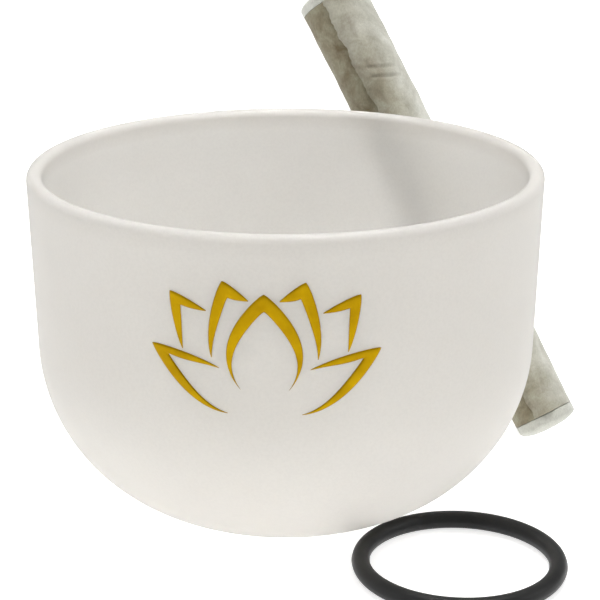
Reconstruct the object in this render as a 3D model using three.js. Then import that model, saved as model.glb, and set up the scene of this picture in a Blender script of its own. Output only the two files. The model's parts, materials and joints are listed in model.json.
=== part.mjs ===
// A frosted quartz singing bowl with a gold lotus, a suede-wrapped mallet leaning beside its wall and the
// rubber ring that it sits on when it is played. Millimetres. The origin is the centre of the bowl's flat
// base, +Z is up along the bowl's axis, and the lotus faces -Y.
import * as THREE from "three";

const DEGREE = Math.PI / 180;
const CLEARANCE = 0.3; // between pieces that touch

const BOWL = {
  rimRadius: 100, // outside the lip
  height: 139,
  wall: 6,
  taper: 2, // how much narrower the wall is at the shoulder than at the lip
  shoulder: 71, // height where the straight wall turns into the rounded bottom
  baseRadius: 27, // flat that the bowl stands on
  segments: 72,
  bottomSteps: 16,
  lipSteps: 8,
};
const LIP = BOWL.wall / 2;

const RING = { radius: 37, section: 3.5, distance: 96.1, azimuth: -47.6 * DEGREE, turns: 64, sides: 12 };

const MALLET = {
  length: 214,
  footRadius: 13.2,
  swell: 1.9, // how much thicker it is from its middle up
  swellLength: 110,
  foot: new THREE.Vector2(114.5, 54.4), // where the foot's centre stands
  tilt: 35.2 * DEGREE, // from the vertical
  heading: 140 * DEGREE, // the way it leans
  spin: 130.7 * DEGREE, // turns the seam to the front
  coreRadius: 8,
  suede: 1.2,
  overlap: 0.42, // how far the sheet runs on past a full turn, in radians
  rise: 0.5, // how far before its own edge it starts to climb over it, in radians
  level: 0.05, // how far before the edge it has finished climbing, in radians
  discThickness: 4.5,
  discDome: 2.2, // how far an end disc bulges out past its rim
  sides: 48,
  steps: 12,
};

const LOTUS = {
  azimuth: -94.4 * DEGREE,
  bottom: 76.2, // height of the flower's root
  gap: CLEARANCE,
  thickness: 0.4,
  shoulder: 0.88, // below 1, a petal is widest nearer its root
  fullness: 0.8, // below 1, a petal's edges are rounder
};

// Each petal is a leaf that leans to one side, drawn as a stroke from a point on its inner edge, over its
// tip and down its outer edge. start and end say how far from the flower's root those points are.
const PETALS = {
  centre: { lean: 0, length: 42, width: 13.5, curl: 0, start: 0.15, end: 0.15, stroke: 4.8, tip: 6.5 },
  inner: { lean: 21, length: 48.5, width: 12, curl: -3, start: 0.8, end: 0.48, stroke: 4.6, tip: 6.5 },
  middle: { lean: 45, length: 53, width: 10.5, curl: -5, start: 0.74, end: 0.66, stroke: 4.2, tip: 6.5 },
  outer: { lean: 75, length: 45.5, width: 8, curl: -9, start: 0.42, end: 0.26, stroke: 4.4, tip: 7.5 },
};
const STROKE_STEPS = 32;
const STROKE_END = 0.05; // a stroke's width at its ends, as a share of the full width
const STROKE_TAPER = 1.3; // above 1, it stays wide for longer before it narrows

const MATERIALS = {
  quartz: new THREE.MeshStandardMaterial({ color: 0xd9d6cf, roughness: 0.6, metalness: 0 }),
  gold: new THREE.MeshStandardMaterial({ color: 0xb49114, roughness: 0.35, metalness: 0.8 }),
  rubber: new THREE.MeshStandardMaterial({ color: 0x232321, roughness: 0.55, metalness: 0 }),
  wood: new THREE.MeshStandardMaterial({ color: 0xb8935e, roughness: 0.7, metalness: 0 }),
  suede: new THREE.MeshStandardMaterial({ color: 0xa09b8c, roughness: 0.95, metalness: 0 }),
  disc: new THREE.MeshStandardMaterial({ color: 0xe1e2dc, roughness: 0.9, metalness: 0 }),
};

function piece(name, geometry, material) {
  const mesh = new THREE.Mesh(geometry, material.clone());
  mesh.name = name;
  return mesh;
}

function arc(x, y, radiusX, radiusY, from, to, steps) {
  return new THREE.EllipseCurve(x, y, radiusX, radiusY, from, to, to < from).getPoints(steps);
}

// A profile of radius and height turned round the Z axis.
function turned(profile, segments) {
  return new THREE.LatheGeometry(profile, segments).rotateX(Math.PI / 2);
}

// ---- Bowl ----

function shoulderRadius() {
  return BOWL.rimRadius - BOWL.taper;
}

// Outside radius of the wall: a quarter ellipse up to the shoulder, then nearly straight up to the lip.
function wallRadius(height) {
  if (height < BOWL.shoulder) {
    const down = (BOWL.shoulder - height) / BOWL.shoulder;
    return BOWL.baseRadius + (shoulderRadius() - BOWL.baseRadius) * Math.sqrt(1 - down * down);
  }
  const up = (height - BOWL.shoulder) / (BOWL.height - LIP - BOWL.shoulder);
  return shoulderRadius() + BOWL.taper * up;
}

function bowlShell() {
  const { baseRadius, shoulder, wall, bottomSteps } = BOWL;
  const across = shoulderRadius() - baseRadius;
  const quarter = Math.PI / 2;
  const outside = arc(baseRadius, shoulder, across, shoulder, -quarter, 0, bottomSteps);
  const lip = arc(BOWL.rimRadius - LIP, BOWL.height - LIP, LIP, LIP, 0, Math.PI, BOWL.lipSteps);
  const inside = arc(baseRadius, shoulder, across - wall, shoulder - wall, 0, -quarter, bottomSteps);
  const profile = [new THREE.Vector2(0, 0), ...outside, ...lip, ...inside, new THREE.Vector2(0, wall)];
  return piece("bowl_shell", turned(profile, BOWL.segments), MATERIALS.quartz);
}

// ---- Lotus ----

// A point of a petal's outline, across and up the wall from the flower's root. side is -1 on the inner edge.
function petalPoint(petal, length, width, reach, side) {
  const curl = petal.curl * reach * reach * (length / petal.length);
  const bulge = Math.max(0, Math.sin(Math.PI * reach ** LOTUS.shoulder)) ** LOTUS.fullness;
  const across = side * width * bulge + curl;
  return new THREE.Vector2(across, length * reach).rotateAround(new THREE.Vector2(), -petal.lean * DEGREE);
}

function strokePoint(petal, along, share) {
  const side = along < 0.5 ? -1 : 1;
  const fromTip = Math.abs(along - 0.5) * 2;
  const reach = THREE.MathUtils.lerp(1, side < 0 ? petal.start : petal.end, fromTip);
  const edge = petalPoint(petal, petal.length, petal.width, reach, side);
  const inset = petalPoint(petal, petal.length - petal.tip, petal.width - petal.stroke, reach, side);
  return edge.lerp(inset, share * THREE.MathUtils.lerp(1, STROKE_END, fromTip ** STROKE_TAPER));
}

// A thin bar bent along the petal's stroke and round the wall.
function lotusPetal(name, petal, mirror) {
  const bar = new THREE.BoxGeometry(1, 1, 1, STROKE_STEPS, 1, 1).translate(0.5, 0.5, 0.5);
  const places = bar.attributes.position;
  for (let i = 0; i < places.count; i += 1) {
    const along = mirror < 0 ? 1 - places.getX(i) : places.getX(i);
    const flat = strokePoint(petal, along, 1 - places.getY(i));
    const height = LOTUS.bottom + flat.y;
    const radius = wallRadius(height) + LOTUS.gap + LOTUS.thickness * places.getZ(i);
    const angle = LOTUS.azimuth + (mirror * flat.x) / wallRadius(height);
    places.setXYZ(i, radius * Math.cos(angle), radius * Math.sin(angle), height);
  }
  return piece(name, bar, MATERIALS.gold);
}

function lotus() {
  const petals = [lotusPetal("lotus_petal_centre", PETALS.centre, 1)];
  for (const row of ["inner", "middle", "outer"]) {
    petals.push(lotusPetal(`lotus_petal_${row}_left`, PETALS[row], -1));
    petals.push(lotusPetal(`lotus_petal_${row}_right`, PETALS[row], 1));
  }
  return petals;
}

// ---- Ring ----

function oRing() {
  const ring = piece("o_ring", new THREE.TorusGeometry(RING.radius, RING.section, RING.sides, RING.turns),
    MATERIALS.rubber);
  const { distance, azimuth } = RING;
  ring.position.set(distance * Math.cos(azimuth), distance * Math.sin(azimuth), RING.section);
  return ring;
}

// ---- Mallet, along its own +Z from the foot ----

// How much thicker the mallet is at a height than at its foot.
function swellAt(height) {
  const share = THREE.MathUtils.smoothstep(height, 0, MALLET.swellLength);
  return 1 + (share * MALLET.swell) / MALLET.footRadius;
}

function swollen(geometry) {
  const places = geometry.attributes.position;
  for (let i = 0; i < places.count; i += 1) {
    const scale = swellAt(places.getZ(i));
    places.setXYZ(i, places.getX(i) * scale, places.getY(i) * scale, places.getZ(i));
  }
  return geometry;
}

const bodyStart = MALLET.discThickness + CLEARANCE;
const bodyLength = MALLET.length - 2 * bodyStart;
const paddingRadius = MALLET.footRadius - MALLET.suede - CLEARANCE;

function rod(radius, start, length) {
  const geometry = new THREE.CylinderGeometry(radius, radius, length, MALLET.sides);
  return geometry.rotateX(Math.PI / 2).translate(0, 0, start + length / 2);
}

// A disc that lies against the mallet's body and bulges outwards past its rim. outward is 1 or -1.
function endDisc(name, radius, rim, outward) {
  const { discThickness, discDome, steps, sides } = MALLET;
  const back = [new THREE.Vector2(0, -discThickness), new THREE.Vector2(radius, -discThickness)];
  const dome = arc(0, 0, radius, discDome, 0, Math.PI / 2, steps);
  const geometry = turned([...back, ...dome], sides);
  if (outward < 0) {
    geometry.rotateX(Math.PI);
  }
  return piece(name, geometry.translate(0, 0, rim), MATERIALS.disc);
}

function malletPadding() {
  const bore = MALLET.coreRadius + CLEARANCE;
  const profile = [new THREE.Vector2(bore, bodyStart)];
  for (let i = 0; i <= MALLET.steps; i += 1) {
    const height = bodyStart + (bodyLength * i) / MALLET.steps;
    profile.push(new THREE.Vector2(paddingRadius * swellAt(height), height));
  }
  profile.push(new THREE.Vector2(bore, bodyStart + bodyLength), profile[0].clone());
  return piece("mallet_padding", turned(profile, MALLET.sides), MATERIALS.rubber);
}

// The suede sheet's section: once round the sleeve, then up and over its own edge.
function suedeSection() {
  const { suede, overlap, rise, level, sides } = MALLET;
  const end = 2 * Math.PI + overlap;
  const count = Math.round((sides * end) / (2 * Math.PI));
  const inner = [];
  const outer = [];
  for (let i = 0; i <= count; i += 1) {
    const angle = (end * i) / count;
    const climbed = THREE.MathUtils.smoothstep(angle, 2 * Math.PI - rise, 2 * Math.PI - level);
    const radius = paddingRadius + CLEARANCE + climbed * (suede + CLEARANCE);
    const way = new THREE.Vector2(Math.cos(angle), -Math.sin(angle));
    inner.push(way.clone().multiplyScalar(radius));
    outer.push(way.clone().multiplyScalar(radius + suede));
  }
  return new THREE.Shape([...outer, ...inner.reverse()]);
}

function malletWrap() {
  const options = { depth: bodyLength, steps: MALLET.steps, bevelEnabled: false };
  const sheet = new THREE.ExtrudeGeometry(suedeSection(), options).translate(0, 0, bodyStart);
  return piece("mallet_suede_wrap", swollen(sheet), MATERIALS.suede);
}

function mallet() {
  const { discDome, length, footRadius, tilt, foot, heading, spin } = MALLET;
  const stick = new THREE.Group();
  stick.add(piece("mallet_core", rod(MALLET.coreRadius, bodyStart, bodyLength), MATERIALS.wood));
  stick.add(malletPadding());
  stick.add(malletWrap());
  stick.add(endDisc("mallet_end_disc_foot", footRadius, 0, -1));
  stick.add(endDisc("mallet_end_disc_top", footRadius * swellAt(length), length, 1));
  stick.rotation.z = spin;

  const leaning = new THREE.Group().add(stick);
  leaning.rotation.y = tilt;
  const placed = new THREE.Group().add(leaning);
  placed.rotation.z = heading;
  const standing = Math.hypot(footRadius * Math.sin(tilt), discDome * Math.cos(tilt));
  placed.position.set(foot.x, foot.y, standing);
  return placed;
}

const singingBowl = new THREE.Group();
singingBowl.add(bowlShell(), ...lotus(), oRing(), mallet());

export default singingBowl;
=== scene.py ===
"""Looks of the singing bowl set: a frosted quartz bowl with a gold lotus, a suede mallet and a ring."""
import json
import math

import bpy
from mathutils import Matrix, Vector, noise


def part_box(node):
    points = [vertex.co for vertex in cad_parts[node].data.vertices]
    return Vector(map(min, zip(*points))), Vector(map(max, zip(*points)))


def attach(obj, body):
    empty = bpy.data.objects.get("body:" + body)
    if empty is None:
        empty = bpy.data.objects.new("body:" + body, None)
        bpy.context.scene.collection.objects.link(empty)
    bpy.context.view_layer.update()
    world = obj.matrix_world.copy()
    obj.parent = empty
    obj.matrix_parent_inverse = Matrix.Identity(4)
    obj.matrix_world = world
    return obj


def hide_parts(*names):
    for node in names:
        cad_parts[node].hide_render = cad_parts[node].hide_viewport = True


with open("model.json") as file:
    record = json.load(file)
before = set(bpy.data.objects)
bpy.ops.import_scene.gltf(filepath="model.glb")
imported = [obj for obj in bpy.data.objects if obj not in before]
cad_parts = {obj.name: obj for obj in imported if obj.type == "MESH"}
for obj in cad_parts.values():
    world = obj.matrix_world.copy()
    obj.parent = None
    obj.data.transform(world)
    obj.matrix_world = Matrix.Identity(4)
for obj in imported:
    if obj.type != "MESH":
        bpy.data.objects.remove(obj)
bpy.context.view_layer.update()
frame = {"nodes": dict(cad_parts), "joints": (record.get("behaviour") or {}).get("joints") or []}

MM = 0.001

# Camera: the distance in front of the bowl's axis, the height above the floor, and how far it looks down.
CAMERA_BACK = 0.7223
CAMERA_HEIGHT = 0.3232
CAMERA_DOWN = 0.3207
CAMERA_YAW = 0.0077
CAMERA_LENS = 114.95  # on a 36 mm sensor

# Bowl. Its outside comes from the frame's box; these are what the box doesn't say.
WALL = 6 * MM
TAPER = 2 * MM
SHOULDER = 71 * MM
BASE_RADIUS = 27 * MM
BOWL_TURNS = 256
BOTTOM_STEPS = 56
WALL_STEPS = 12
LIP_STEPS = 16
INSIDE_LIGHT_FROM = 0.3  # how far through the wall, from its outside, the inside's painted light, a paler colour, starts
INSIDE_LIGHT_TO = 0.9  # and where it is full

# Lotus: seven strokes round the wall. LOTUS_BOTTOM and the petals are in millimetres, as in the CAD model.
LOTUS_AZIMUTH = math.radians(-94.4)
LOTUS_BOTTOM = 76.2
LOTUS_SHOULDER = 0.88
LOTUS_FULLNESS = 0.8
PETALS = {
    "centre": {"lean": 0, "length": 42, "width": 13.5, "curl": 0, "start": 0.15, "end": 0.15, "stroke": 4.8,
               "tip": 6.5},
    "inner": {"lean": 21, "length": 48.5, "width": 12, "curl": -3, "start": 0.8, "end": 0.48, "stroke": 4.6,
              "tip": 6.5},
    "middle": {"lean": 45, "length": 53, "width": 10.5, "curl": -5, "start": 0.74, "end": 0.66, "stroke": 4.2,
               "tip": 6.5},
    "outer": {"lean": 75, "length": 45.5, "width": 8, "curl": -9, "start": 0.42, "end": 0.26, "stroke": 4.4,
              "tip": 7.5},
}
STROKE_END = 0.05  # a stroke's width at its ends, as a share of the full width
STROKE_TAPER = 1.3  # above 1, it stays wide for longer before it narrows
STROKE_STEPS = 120
STROKE_ACROSS = 12
LEAF_HEIGHT = 0.5 * MM  # how high a stroke's dome stands
LEAF_ROLL = 14  # how fast a stroke rises from its two ends
LEAF_EDGE = 0.05 * MM  # how far below the wall's surface the dome's edge is
LEAF_SINK = 0.25 * MM  # how deep the stroke's back is

# Ring. Its size comes from the frame's box.
RING_TURNS = 240
RING_SIDES = 40
RIDGE = 0.09 * MM  # how far the parting line stands out
RIDGE_WIDTH = 0.22 * MM

# Mallet, measured along its own length from the foot.
FOOT_RADIUS = 13.2 * MM
SWELL = 1.9 * MM
SWELL_LENGTH = 110 * MM
SUEDE = 1.2 * MM
CLEARANCE = 0.3 * MM
SEAM_ANGLE = math.radians(130.7)
OVERLAP = 0.42  # how far the sheet runs on past a full turn, in radians
RISE = 0.5  # how far before its own edge it starts to climb over it, in radians
LEVEL = 0.05  # how far before the edge it has finished climbing, in radians
SIDE_SHADE_REACH = 1.4  # how far round from the seam the painted shade on the hide reaches, in radians
WRAP_TURNS = 300
WRAP_ROWS = 320
WRAP_GAP = 0.06 * MM  # between the suede and an end disc
CORE_RADIUS = 8 * MM
DISC = 4.5 * MM
DOME = 2.2 * MM
DISC_ROLL = 1.5 * MM  # how far down its side a disc's face rolls over
DISC_BACK = 0.2 * MM  # how round the disc's back edge is
DISC_PRESSED = 0.3 * MM  # how deep the middle of its face is pressed in
DISC_DENT = 0.12 * MM
DISC_STEPS = 40
BACK_STEPS = 4
DISC_TURNS = 160
BODY_START = DISC + CLEARANCE

# The suede's relief. Angles are in radians from the sheet's hidden edge.
CREASES = ((167 * MM, 1.0), (171.5 * MM, 0.8))  # where each fold is, and its share of the depth
CREASE_DEPTH = 0.7 * MM
CREASE_WIDTH = 0.7 * MM
CREASE_SLOPE = 4.5 * MM  # how much higher it gets in a radian
CREASE_SWAY = 0.4 * MM
CREASE_MIDDLE = 5.85
CREASE_START = (5.3, 5.7)  # the angles between which a fold deepens
CREASE_STOP = (6.2, 6.45)
HIDE_GRAIN = 16 * MM  # the size of the bunching along the mallet
HIDE_BROAD = 0.28 * MM
HIDE_FINE = 0.14 * MM
HIDE_MOST = 0.35 * MM
SKIN_LEAST = 0.35 * MM
SKIN_SINK = 0.1 * MM  # how far the sheet's face lies in from the CAD solid's, before its relief
EDGE_THINNING = 0.3  # the share of its thickness that the sheet loses at its two edges
EDGE_REACH = 0.13
END_WANDER = 0.12 * MM
WANDER_LENGTH = 9 * MM
NICK_LENGTH = 2.2 * MM
SEAM_SHADE = 0.6  # how dark the painted shade on the top layer gets towards its edge, as a share of the strip's
SEAM_SHADE_FROM = 1.3  # how far before the edge that starts
SEAM_SHADE_TO = 0.3


# ---- Node material helpers ----

class Nodes:
    """A short way to write a node material."""

    def __init__(self, name):
        self.material = bpy.data.materials.new(name)
        self.material.use_nodes = True
        self.tree = self.material.node_tree
        self.shader = self.tree.nodes["Principled BSDF"]
        self.place = self.add("ShaderNodeTexCoord").outputs["Object"]

    def add(self, kind, **values):
        node = self.tree.nodes.new(kind)
        for key, value in values.items():
            setattr(node, key, value)
        return node

    def link(self, a, b):
        self.tree.links.new(a, b)

    def set(self, **values):
        for key, value in values.items():
            self.shader.inputs[key.replace("_", " ")].default_value = value

    def noise(self, scale, detail=4.0, roughness=0.55, stretch=None, distortion=0.0):
        node = self.add("ShaderNodeTexNoise")
        node.inputs["Scale"].default_value = scale
        node.inputs["Detail"].default_value = detail
        node.inputs["Roughness"].default_value = roughness
        node.inputs["Distortion"].default_value = distortion
        source = self.place
        if stretch:
            mapping = self.add("ShaderNodeMapping")
            mapping.inputs["Scale"].default_value = stretch
            self.link(source, mapping.inputs["Vector"])
            source = mapping.outputs["Vector"]
        self.link(source, node.inputs["Vector"])
        return node.outputs["Fac"]

    def ramp(self, source, stops):
        node = self.add("ShaderNodeValToRGB")
        elements = node.color_ramp.elements
        while len(elements) < len(stops):
            elements.new(0.5)
        for element, (position, colour) in zip(elements, stops):
            element.position = position
            element.color = (*colour, 1)
        self.link(source, node.inputs["Fac"])
        return node.outputs["Color"]

    def remap(self, source, low, high, from_low=0.0, from_high=1.0):
        node = self.add("ShaderNodeMapRange")
        ends = {"From Min": from_low, "From Max": from_high, "To Min": low, "To Max": high}
        for key, value in ends.items():
            node.inputs[key].default_value = value
        self.link(source, node.inputs["Value"])
        return node.outputs["Result"]

    def mix(self, share, a, b, blend="MIX"):
        node = self.add("ShaderNodeMix", data_type="RGBA", blend_type=blend)
        for socket, value in ((node.inputs[0], share), (node.inputs[6], a), (node.inputs[7], b)):
            if isinstance(value, bpy.types.NodeSocket):
                self.link(value, socket)
            else:
                socket.default_value = (*value, 1) if isinstance(value, tuple) else value
        return node.outputs[2]

    def maths(self, operation, a, b):
        node = self.add("ShaderNodeMath", operation=operation)
        for socket, value in ((node.inputs[0], a), (node.inputs[1], b)):
            if isinstance(value, bpy.types.NodeSocket):
                self.link(value, socket)
            else:
                socket.default_value = value
        return node.outputs[0]

    def bump(self, layers):
        """layers are (height, distance in metres, strength), coarse first."""
        last = None
        for height, distance, strength in layers:
            node = self.add("ShaderNodeBump")
            node.inputs["Distance"].default_value = distance
            node.inputs["Strength"].default_value = strength
            self.link(height, node.inputs["Height"])
            if last:
                self.link(last, node.inputs["Normal"])
            last = node.outputs["Normal"]
        self.link(last, self.shader.inputs["Normal"])


def srgb(red, green, blue):
    """Linear colour of an 8-bit sRGB one."""
    out = []
    for value in (red, green, blue):
        share = value / 255
        out.append(share / 12.92 if share <= 0.04045 else ((share + 0.055) / 1.055) ** 2.4)
    return tuple(out)


# ---- Materials ----

def quartz_material():
    """Sand-blasted fused quartz: milky, with a fine grain, faint mottling and a soft glow through the wall.

    Two attributes are painted on the mesh: one makes the inside paler, as painted light that brightens it,
    and the other marks the ground lip, which is greyer and clearer.
    """
    m = Nodes("frosted_quartz")
    mottle = m.noise(14, 3, 0.5)
    fine = m.noise(900, 3, 0.6)
    grain = m.noise(2600, 2, 0.5)
    swirl = m.noise(26, 3, 0.5, stretch=(1, 1, 6))
    outside = m.ramp(mottle, [(0.3, srgb(230, 227, 222)), (0.7, srgb(236, 233, 228))])
    # painted light: the inside's paler colour brightens it beyond what the lamps give it
    inside = m.ramp(mottle, [(0.3, srgb(244, 242, 238)), (0.7, srgb(249, 247, 243))])
    lip = m.ramp(mottle, [(0.3, srgb(223, 220, 215)), (0.7, srgb(228, 225, 220))])
    painted_inside_light = m.add("ShaderNodeAttribute", attribute_name="painted_inside_light").outputs["Fac"]
    on_lip = m.add("ShaderNodeAttribute", attribute_name="lip").outputs["Fac"]
    colour = m.mix(on_lip, m.mix(painted_inside_light, outside, inside), lip)
    speck = m.ramp(fine, [(0.35, (0.965, 0.965, 0.965)), (0.6, (1, 1, 1))])
    m.link(m.mix(1.0, colour, speck, "MULTIPLY"), m.shader.inputs["Base Color"])
    m.link(m.remap(fine, 0.5, 0.66, 0.3, 0.7), m.shader.inputs["Roughness"])
    m.set(IOR=1.46)
    m.set(Subsurface_Weight=0.6, Subsurface_Radius=(1.0, 0.98, 0.95), Subsurface_Scale=0.012)
    m.set(Transmission_Weight=0.35)
    m.bump([(swirl, 0.0004, 0.12), (fine, 0.0001, 0.25), (grain, 0.00004, 0.3)])
    return m.material


def gold_material():
    """Gold leaf laid on the frosted wall, so that the grain shows through it."""
    m = Nodes("gold_leaf")
    patch = m.noise(120, 4, 0.6)
    grain = m.noise(1500, 3, 0.6)
    wear = m.noise(420, 6, 0.7)
    colour = m.ramp(patch, [(0.3, srgb(163, 127, 3)), (0.7, srgb(184, 148, 6))])
    worn = m.ramp(wear, [(0.66, (0, 0, 0)), (0.72, (1, 1, 1))])
    m.link(m.mix(m.maths("MULTIPLY", worn, 0.35), colour, srgb(206, 178, 70)), m.shader.inputs["Base Color"])
    m.link(m.remap(grain, 0.34, 0.52, 0.3, 0.7), m.shader.inputs["Roughness"])
    m.set(Metallic=0.8, Specular_IOR_Level=0.1)
    m.bump([(wear, 0.00006, 0.25), (grain, 0.00003, 0.35)])
    return m.material


def rubber_material(name, dark=(20, 20, 20), light=(36, 37, 38)):
    """Moulded rubber with a dull bloom and a little dust."""
    m = Nodes(name)
    bloom = m.noise(60, 5, 0.6)
    grain = m.noise(2200, 3, 0.6)
    dust = m.noise(900, 5, 0.75)
    colour = m.ramp(bloom, [(0.35, srgb(*dark)), (0.75, srgb(*light))])
    speck = m.ramp(dust, [(0.7, (0, 0, 0)), (0.74, (1, 1, 1))])
    m.link(m.mix(m.maths("MULTIPLY", speck, 0.3), colour, srgb(120, 118, 112)), m.shader.inputs["Base Color"])
    m.link(m.remap(bloom, 0.36, 0.52, 0.3, 0.7), m.shader.inputs["Roughness"])
    m.set(Specular_IOR_Level=0.3)
    m.bump([(grain, 0.00004, 0.3), (dust, 0.00003, 0.25)])
    return m.material


def suede_material(name, deep, middle, pale, strip=None):
    """Napped hide: cloudy where the nap has been brushed two ways, with short fibres.

    strip is the pair of darker colours of painted shade for the band painted as "strip" in the mesh.
    """
    m = Nodes(name)
    cloud = m.noise(38, 5, 0.6, distortion=0.6)
    patch = m.noise(130, 4, 0.65, distortion=0.4)
    fibre = m.noise(1700, 4, 0.7, stretch=(1, 1, 0.45))
    pile = m.noise(700, 5, 0.7)
    colour = m.ramp(cloud, [(0.3, srgb(*deep)), (0.5, srgb(*middle)), (0.72, srgb(*pale))])
    if strip:
        band = m.add("ShaderNodeAttribute", attribute_name="strip").outputs["Fac"]
        # painted shade: the darker colours of the mallet's shaded side and of the shade along the seam
        shaded_hide = m.ramp(patch, [(0.3, srgb(*strip[0])), (0.7, srgb(*strip[1]))])
        colour = m.mix(band, colour, shaded_hide)
    brushed = m.ramp(patch, [(0.3, (0.9, 0.9, 0.89)), (0.65, (1.04, 1.04, 1.04))])
    threads = m.ramp(fibre, [(0.25, (0.8, 0.8, 0.79)), (0.7, (1.08, 1.08, 1.07))])
    colour = m.mix(1.0, m.mix(1.0, colour, brushed, "MULTIPLY"), threads, "MULTIPLY")
    m.link(colour, m.shader.inputs["Base Color"])
    m.link(m.remap(pile, 0.88, 1.0, 0.3, 0.7), m.shader.inputs["Roughness"])
    m.set(Specular_IOR_Level=0.15, Sheen_Weight=0.3, Sheen_Roughness=0.5)
    m.bump([(patch, 0.0004, 0.35), (pile, 0.00022, 0.5), (fibre, 0.00012, 0.6)])
    return m.material


def wood_material():
    """A pale dowel with stretched grain."""
    m = Nodes("dowel_wood")
    grain = m.noise(90, 6, 0.6, stretch=(6, 6, 0.4))
    colour = m.ramp(grain, [(0.3, srgb(158, 120, 74)), (0.7, srgb(206, 172, 122))])
    m.link(colour, m.shader.inputs["Base Color"])
    m.link(m.remap(grain, 0.5, 0.72), m.shader.inputs["Roughness"])
    m.bump([(grain, 0.0002, 0.3)])
    return m.material


def floor_material():
    """A matt floor that glows, so that it comes out near white."""
    m = Nodes("studio_floor")
    tone = m.noise(3, 2, 0.5)
    m.link(m.ramp(tone, [(0.3, (0.78, 0.78, 0.78)), (0.7, (0.8, 0.8, 0.8))]), m.shader.inputs["Base Color"])
    m.set(Roughness=0.9, Specular_IOR_Level=0.1)
    m.set(Emission_Color=(1, 1, 1, 1), Emission_Strength=0.68)
    return m.material


# ---- Mesh helpers ----

def smooth(value, low, high):
    """0 below low, 1 above high, and an S-curve between them."""
    share = min(1.0, max(0.0, (value - low) / (high - low)))
    return share * share * (3 - 2 * share)


def new_object(name, points, faces, material):
    mesh = bpy.data.meshes.new(name)
    mesh.from_pydata([tuple(p) for p in points], [], faces)
    mesh.validate()
    mesh.materials.append(material)
    piece = bpy.data.objects.new(name, mesh)
    bpy.context.scene.collection.objects.link(piece)
    mesh.shade_smooth()
    return piece


def paint(node, material):
    """Gives a CAD node a finished material, and leaves its mesh alone."""
    piece = frame["nodes"][node]
    piece.data.materials.clear()
    piece.data.materials.append(material)


def turned(profile, turns):
    """Points and faces of a profile of (radius, height) turned round Z. Both ends are on the axis."""
    points = [(0, 0, profile[0][1]), (0, 0, profile[-1][1])]
    rows = profile[1:-1]
    for radius, height in rows:
        for k in range(turns):
            angle = 2 * math.pi * k / turns
            points.append((radius * math.cos(angle), radius * math.sin(angle), height))
    faces = []
    for k in range(turns):
        after = (k + 1) % turns
        faces.append((0, 2 + after, 2 + k))
        for row in range(len(rows) - 1):
            a, b = 2 + row * turns, 2 + (row + 1) * turns
            faces.append((a + k, a + after, b + after, b + k))
        last = 2 + (len(rows) - 1) * turns
        faces.append((1, last + k, last + after))
    return points, faces


def sheet_faces(rows, columns):
    """Faces of a closed slab: the outside grid, the inside grid and the four edges between them."""
    width = columns + 1
    inner = (rows + 1) * width
    faces = []
    for r in range(rows):
        for c in range(columns):
            a = r * width + c
            faces.append((a + 1, a, a + width, a + width + 1))
            faces.append((inner + a, inner + a + 1, inner + a + width + 1, inner + a + width))
    for c in range(columns):
        low, high = c, rows * width + c
        faces.append((low, low + 1, inner + low + 1, inner + low))
        faces.append((high + 1, high, inner + high, inner + high + 1))
    for r in range(rows):
        first, last = r * width, r * width + columns
        faces.append((first + width, first, inner + first, inner + first + width))
        faces.append((last, last + width, inner + last + width, inner + last))
    return faces


# ---- Bowl ----

rim_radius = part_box("bowl_shell")[1].x
bowl_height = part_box("bowl_shell")[1].z
lip = WALL / 2


def wall_radius(height):
    """Outside of the bowl: a quarter ellipse up to the shoulder, then nearly straight up to the lip."""
    shoulder_radius = rim_radius - TAPER
    if height < SHOULDER:
        down = (SHOULDER - height) / SHOULDER
        return BASE_RADIUS + (shoulder_radius - BASE_RADIUS) * math.sqrt(max(0, 1 - down * down))
    return shoulder_radius + TAPER * (height - SHOULDER) / (bowl_height - lip - SHOULDER)


def bowl_profile():
    """Radius and height down the middle of the base, up the outside, over the lip and down the inside."""
    across = rim_radius - TAPER - BASE_RADIUS
    halfway = BASE_RADIUS / 2

    def quarter(radius_x, radius_z, forward):
        steps = range(BOTTOM_STEPS + 1)
        turns = [math.pi / 2 * k / BOTTOM_STEPS for k in (steps if forward else reversed(steps))]
        return [(BASE_RADIUS + radius_x * math.sin(t), SHOULDER - radius_z * math.cos(t)) for t in turns]

    profile = [(0, 0), (halfway, 0)] + quarter(across, SHOULDER, True)
    for k in range(1, WALL_STEPS):
        height = SHOULDER + (bowl_height - lip - SHOULDER) * k / WALL_STEPS
        profile.append((wall_radius(height), height))
    for k in range(LIP_STEPS + 1):
        angle = math.pi * k / LIP_STEPS
        profile.append((rim_radius - lip + lip * math.cos(angle), bowl_height - lip + lip * math.sin(angle)))
    for k in range(WALL_STEPS - 1, 0, -1):
        height = SHOULDER + (bowl_height - lip - SHOULDER) * k / WALL_STEPS
        profile.append((wall_radius(height) - WALL, height))
    profile += quarter(across - WALL, SHOULDER - WALL, False)
    profile += [(halfway, WALL), (0, WALL)]
    return profile


def make_bowl():
    """The bowl, with the painted light that makes its inside paler and with its lip, both painted on the mesh
    as attributes.
    """
    points, faces = turned(bowl_profile(), BOWL_TURNS)
    piece = new_object("bowl", points, faces, quartz_material())
    painted_inside_light, on_lip = [], []
    for x, y, z in points:
        depth = (wall_radius(z) - math.hypot(x, y)) / WALL
        # painted light: 0 on the outside, 1 on the inside, where the colour is paler to brighten it
        painted_inside_light.append(smooth(depth, INSIDE_LIGHT_FROM, INSIDE_LIGHT_TO) if z > 0 else 0)
        on_lip.append(smooth(z, bowl_height - 2 * lip, bowl_height - lip / 2))
    for name, values in (("painted_inside_light", painted_inside_light), ("lip", on_lip)):
        piece.data.attributes.new(name, "FLOAT", "POINT").data.foreach_set("value", values)
    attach(piece, "bowl")
    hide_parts("bowl_shell")


# ---- Lotus ----

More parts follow.
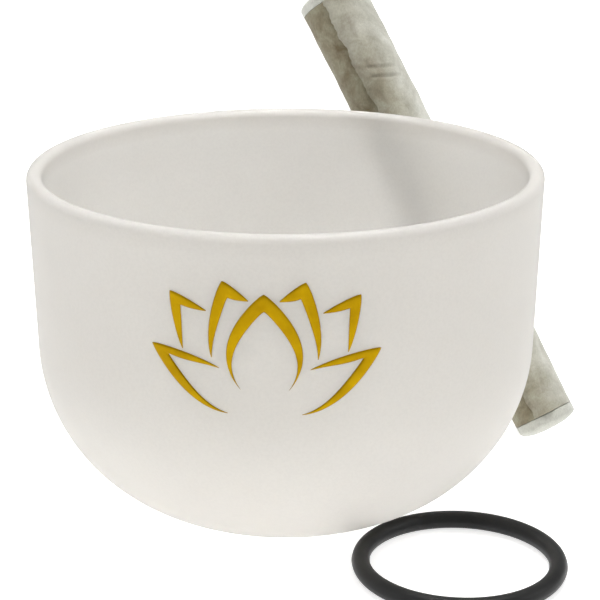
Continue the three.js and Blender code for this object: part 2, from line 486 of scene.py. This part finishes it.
def petal_point(petal, inset, reach, side):
    """A point of a petal's outline, or of the smaller outline inside it, across and up from the root."""
    length = petal["length"] - inset * petal["tip"]
    width = petal["width"] - inset * petal["stroke"]
    bulge = max(0, math.sin(math.pi * reach ** LOTUS_SHOULDER)) ** LOTUS_FULLNESS
    across = side * width * bulge + petal["curl"] * reach * reach * length / petal["length"]
    lean = math.radians(-petal["lean"])
    cos, sin = math.cos(lean), math.sin(lean)
    up = length * reach
    return Vector((across * cos - up * sin, across * sin + up * cos))


def stroke_point(petal, along, share):
    """A point of the stroke over a petal's tip: share is 0 on its outer edge and 1 on its inner edge."""
    side = -1 if along < 0.5 else 1
    from_tip = abs(along - 0.5) * 2
    end = petal["start"] if side < 0 else petal["end"]
    reach = 1 + (end - 1) * from_tip
    edge = petal_point(petal, 0, reach, side)
    inset = petal_point(petal, 1, reach, side)
    width = 1 + (STROKE_END - 1) * from_tip ** STROKE_TAPER
    return edge + (inset - edge) * share * width


def on_wall(flat, mirror, off):
    """The place on the wall of a flat point of the lotus, in metres, at a distance off the surface."""
    height = (LOTUS_BOTTOM + flat.y) * MM
    radius = wall_radius(height)
    angle = LOTUS_AZIMUTH + mirror * flat.x * MM / radius
    return ((radius + off) * math.cos(angle), (radius + off) * math.sin(angle), height)


def make_petal(name, petal, mirror, material):
    """A stroke of thick leaf: a closed strip with a domed face that rolls down to the wall at its edges."""
    points = []
    for i in range(STROKE_STEPS + 1):
        along = i / STROKE_STEPS
        end_roll = min(1, LEAF_ROLL * min(along, 1 - along))
        for j in range(STROKE_ACROSS + 1):
            share = j / STROKE_ACROSS
            dome = max(0, 1 - (2 * share - 1) ** 4) ** 0.5
            rise = LEAF_HEIGHT * dome * math.sqrt(end_roll)
            points.append(on_wall(stroke_point(petal, along, share), mirror, rise - LEAF_EDGE))
    for i in range(STROKE_STEPS + 1):
        for j in range(STROKE_ACROSS + 1):
            flat = stroke_point(petal, i / STROKE_STEPS, j / STROKE_ACROSS)
            points.append(on_wall(flat, mirror, -LEAF_SINK))
    faces = sheet_faces(STROKE_STEPS, STROKE_ACROSS)
    if mirror > 0:
        faces = [face[::-1] for face in faces]
    piece = new_object(name + "_leaf", points, faces, material)
    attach(piece, "bowl")
    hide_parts(name)


def make_lotus():
    gold = gold_material()
    make_petal("lotus_petal_centre", PETALS["centre"], 1, gold)
    for row in ("inner", "middle", "outer"):
        make_petal(f"lotus_petal_{row}_left", PETALS[row], -1, gold)
        make_petal(f"lotus_petal_{row}_right", PETALS[row], 1, gold)


# ---- Ring ----

def make_ring():
    """A moulded ring: a round section with a fine parting line on its outside and inside."""
    low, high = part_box("o_ring")
    centre = (low + high) / 2
    section = (high.z - low.z) / 2
    radius = (high.x - low.x) / 2 - section
    points, faces = [], []
    for k in range(RING_TURNS):
        around = 2 * math.pi * k / RING_TURNS
        for j in range(RING_SIDES):
            angle = 2 * math.pi * j / RING_SIDES
            line = math.exp(-((math.sin(angle) * section / RIDGE_WIDTH) ** 2))
            size = section - RIDGE + RIDGE * line
            reach = radius + size * math.cos(angle)
            height = section - RIDGE + size * math.sin(angle)
            points.append((centre.x + reach * math.cos(around), centre.y + reach * math.sin(around), height))
            a, b = k * RING_SIDES, ((k + 1) % RING_TURNS) * RING_SIDES
            after = (j + 1) % RING_SIDES
            faces.append((a + j, b + j, b + after, a + after))
    piece = new_object("rubber_ring", points, faces, rubber_material("black_rubber"))
    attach(piece, "o_ring")
    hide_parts("o_ring")


# ---- Mallet ----

def mallet_place():
    """The mallet's frame, whose origin is the foot disc's rim, and its length, both from the dowel's box."""
    lift = next(joint for joint in frame["joints"] if joint["name"] == "mallet_lift")
    axis = Vector(lift["axis"]).normalized()
    low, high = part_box("mallet_core")
    body = (high.z - low.z - 2 * CORE_RADIUS * math.sqrt(1 - axis.z ** 2)) / axis.z
    foot = (low + high) / 2 - axis * (body / 2 + BODY_START)
    level = Vector((0, 0, 1)).cross(axis).normalized()
    downhill = level.cross(axis).normalized()
    turn = Matrix((downhill, level, axis)).transposed().to_4x4()
    return Matrix.Translation(foot) @ turn, body + 2 * BODY_START


mallet_frame, mallet_length = mallet_place()


def swell_at(height):
    """The mallet's thickness at a height, as a multiple of its foot's."""
    return 1 + smooth(height, 0, SWELL_LENGTH) * SWELL / FOOT_RADIUS


def crease(height, angle):
    """How deep the suede is pinched into two folds near the top, which run part of the way round."""
    depth = 0
    for place, share in CREASES:
        sway = CREASE_SLOPE * (angle - CREASE_MIDDLE) + CREASE_SWAY * math.sin(5 * angle)
        across = (height - place - sway) / CREASE_WIDTH
        reach = smooth(angle, *CREASE_START) * (1 - smooth(angle, *CREASE_STOP))
        depth += share * reach * (math.exp(-across * across) - 0.5 * math.exp(-((across - 2) ** 2)))
    return depth


def hide_relief(height, angle):
    """How far the suede stands in or out of its plain shape, from bunching and handling."""
    turn = Vector((math.cos(angle) * 1.4, math.sin(angle) * 1.4, height / HIDE_GRAIN))
    broad = noise.fractal(turn, 1.0, 2.0, 3)
    fine = noise.fractal(turn * 3.1 + Vector((7, 3, 1)), 1.0, 2.0, 3)
    return HIDE_BROAD * broad + HIDE_FINE * fine


def wrap_edge(height):
    """Where the sheet's outer edge lies: it wanders and is nicked, as a hand-cut one is."""
    wander = noise.fractal(Vector((2.7, 9.1, height / WANDER_LENGTH)), 1.0, 2.0, 3)
    nick = noise.fractal(Vector((5.1, 0.4, height / NICK_LENGTH)), 1.0, 2.0, 2)
    return 2 * math.pi + OVERLAP - 0.08 + 0.07 * wander + 0.035 * nick


def cut_end(angle):
    """How far the sheet's end falls short, as it was cut by hand."""
    turn = Vector((math.cos(angle) * 2, math.sin(angle) * 2, 4))
    return END_WANDER * (1 + noise.fractal(turn, 1.0, 2.0, 3))


def make_wrap():
    """The suede sheet, rolled once round the sleeve and over its own edge.

    Returns its points, how far each of them is in the strip of painted shade, and the sheet's length.
    """
    start = DISC + WRAP_GAP
    length = mallet_length - 2 * start
    inside = FOOT_RADIUS - SUEDE
    outer, inner, strip = [], [], []
    for row in range(WRAP_ROWS + 1):
        level = start + length * row / WRAP_ROWS
        edge = wrap_edge(level)
        fat = swell_at(level)
        for k in range(WRAP_TURNS + 1):
            angle = edge * k / WRAP_TURNS
            short = max(0, cut_end(angle)) * (1 - 2 * row / WRAP_ROWS)
            height = level + short
            lap = smooth(angle, 2 * math.pi - RISE, 2 * math.pi - LEVEL)
            base = (inside + lap * (SUEDE + CLEARANCE)) * fat
            near_edge = smooth(angle, edge - EDGE_REACH, edge) + (1 - smooth(angle, 0, EDGE_REACH))
            settle = 1 - smooth(angle, 2 * math.pi - 1.5 * RISE, 2 * math.pi - RISE)
            settle = max(settle, smooth(angle, 2 * math.pi - RISE, 2 * math.pi))
            lift = min(hide_relief(height, angle % (2 * math.pi)) * settle, HIDE_MOST)
            lift -= CREASE_DEPTH * crease(height, angle)
            thinned = EDGE_THINNING * SUEDE * near_edge
            skin = max(SKIN_LEAST, SUEDE * fat - thinned + lift - SKIN_SINK)
            way = Vector((math.cos(angle), -math.sin(angle), 0))
            inner.append(way * base + Vector((0, 0, height)))
            outer.append(way * (base + skin) + Vector((0, 0, height)))
            # painted shade: the side past the seam, and the top layer towards its edge, are painted darker
            under = 1 - smooth(angle - OVERLAP, 0.7 * SIDE_SHADE_REACH, SIDE_SHADE_REACH)
            strip.append(max(under, SEAM_SHADE * smooth(angle, edge - SEAM_SHADE_FROM, edge - SEAM_SHADE_TO)))
    return outer + inner, strip + strip, length


def make_mallet():
    # the strip colours are painted shade on the mallet's shaded side and along the seam
    suede = suede_material("suede", (160, 158, 144), (197, 196, 186), (226, 227, 221),
                           strip=((126, 112, 88), (162, 159, 138)))
    points, strip, length = make_wrap()
    turn = mallet_frame @ Matrix.Rotation(SEAM_ANGLE, 4, "Z")
    wrap = new_object("suede_wrap", [turn @ p for p in points], sheet_faces(WRAP_ROWS, WRAP_TURNS), suede)
    wrap.data.attributes.new("strip", "FLOAT", "POINT").data.foreach_set("value", strip)
    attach(wrap, "mallet")
    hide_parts("mallet_suede_wrap")

    pale = suede_material("end_suede", (196, 196, 188), (210, 211, 204), (224, 225, 219))
    make_end_disc("foot", 0, -1, pale)
    make_end_disc("top", mallet_length, 1, pale)
    paint("mallet_core", wood_material())
    paint("mallet_padding", rubber_material("sleeve_rubber", (38, 38, 38), (58, 58, 58)))


def make_end_disc(name, rim, outward, material):
    """A thick suede disc: a bulging face that rolls over at its edge, an uneven rim and a pressed middle."""
    radius = FOOT_RADIUS * swell_at(rim)
    bulge = DOME + DISC_ROLL
    profile = []
    for k in range(DISC_STEPS + 1):
        angle = math.pi / 2 * k / DISC_STEPS
        pressed = DISC_PRESSED * math.exp(-((math.sin(angle) / 0.35) ** 2))
        profile.append((radius * math.sin(angle), bulge * math.cos(angle) - DISC_ROLL - pressed))
    for k in range(BACK_STEPS + 1):
        angle = math.pi / 2 * k / BACK_STEPS
        across = radius - DISC_BACK + DISC_BACK * math.cos(angle)
        profile.append((across, DISC_BACK - DISC_BACK * math.sin(angle) - DISC))
    profile += [(radius * share, -DISC) for share in (0.8, 0.4)] + [(0, -DISC)]
    points, faces = turned(profile[::-1], DISC_TURNS)
    placed = []
    for x, y, z in points:
        angle = math.atan2(y, x)
        ragged = noise.fractal(Vector((math.cos(angle) * 3, math.sin(angle) * 3, rim + z / MM)), 1.0, 2.0, 4)
        soft = noise.fractal(Vector((x, y, rim + z)) / (4 * MM), 1.0, 2.0, 3)
        share = math.hypot(x, y) / radius
        shrink = min(1, 1 - 0.014 * share * (0.6 + ragged))
        dent = DISC_DENT * max(0, soft) if z > -DISC_ROLL else 0
        placed.append(mallet_frame @ Vector((x * shrink, y * shrink * outward, rim + outward * (z - dent))))
    piece = new_object(f"end_disc_{name}", placed, faces, material)
    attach(piece, "mallet")
    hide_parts(f"mallet_end_disc_{name}")


# ---- Studio ----

def area_light(name, place, target, size, power, spread=180):
    """A round light that faces its target: size in metres, power in watts and spread in degrees."""
    data = bpy.data.lights.new(name, "AREA")
    data.shape = "DISK"
    data.size = size
    data.energy = power
    data.spread = math.radians(spread)
    data.color = (1, 1, 0.99)
    light = bpy.data.objects.new(name, data)
    light.location = place
    light.rotation_euler = (Vector(target) - Vector(place)).to_track_quat("-Z", "Y").to_euler()
    bpy.context.scene.collection.objects.link(light)


def make_studio():
    bpy.ops.mesh.primitive_circle_add(vertices=96, radius=6, fill_type="NGON", location=(0, 0, -0.0002))
    floor = bpy.context.object
    floor.name = "floor"
    floor.data.materials.append(floor_material())

    world = bpy.data.worlds.new("studio")
    world.use_nodes = True
    world.node_tree.nodes["Background"].inputs["Color"].default_value = (1, 0.995, 0.985, 1)
    world.node_tree.nodes["Background"].inputs["Strength"].default_value = 0.42
    bpy.context.scene.world = world
    area_light("right", (1.3, -0.2, 0.7), (0, 0, 0.08), 0.6, 2.7)
    area_light("left", (-1.3, -0.2, 0.7), (0, 0, 0.08), 0.6, 2.4)
    area_light("top", (0.1, 0.1, 1.6), (0, 0, 0), 0.9, 14.5)
    area_light("inside", (0, 0, 0.8), (0, 0, 0), 0.1, 0.17, spread=15)

    camera_data = bpy.data.cameras.new("camera")
    camera_data.lens = CAMERA_LENS
    camera_data.sensor_width = 36
    camera = bpy.data.objects.new("camera", camera_data)
    camera.location = (0, -CAMERA_BACK, CAMERA_HEIGHT)
    camera.rotation_euler = (math.pi / 2 - CAMERA_DOWN, 0, -CAMERA_YAW)
    bpy.context.scene.collection.objects.link(camera)
    bpy.context.scene.camera = camera
    bpy.context.scene.view_settings.view_transform = "Standard"


make_studio()
make_bowl()
make_lotus()
make_ring()
make_mallet()
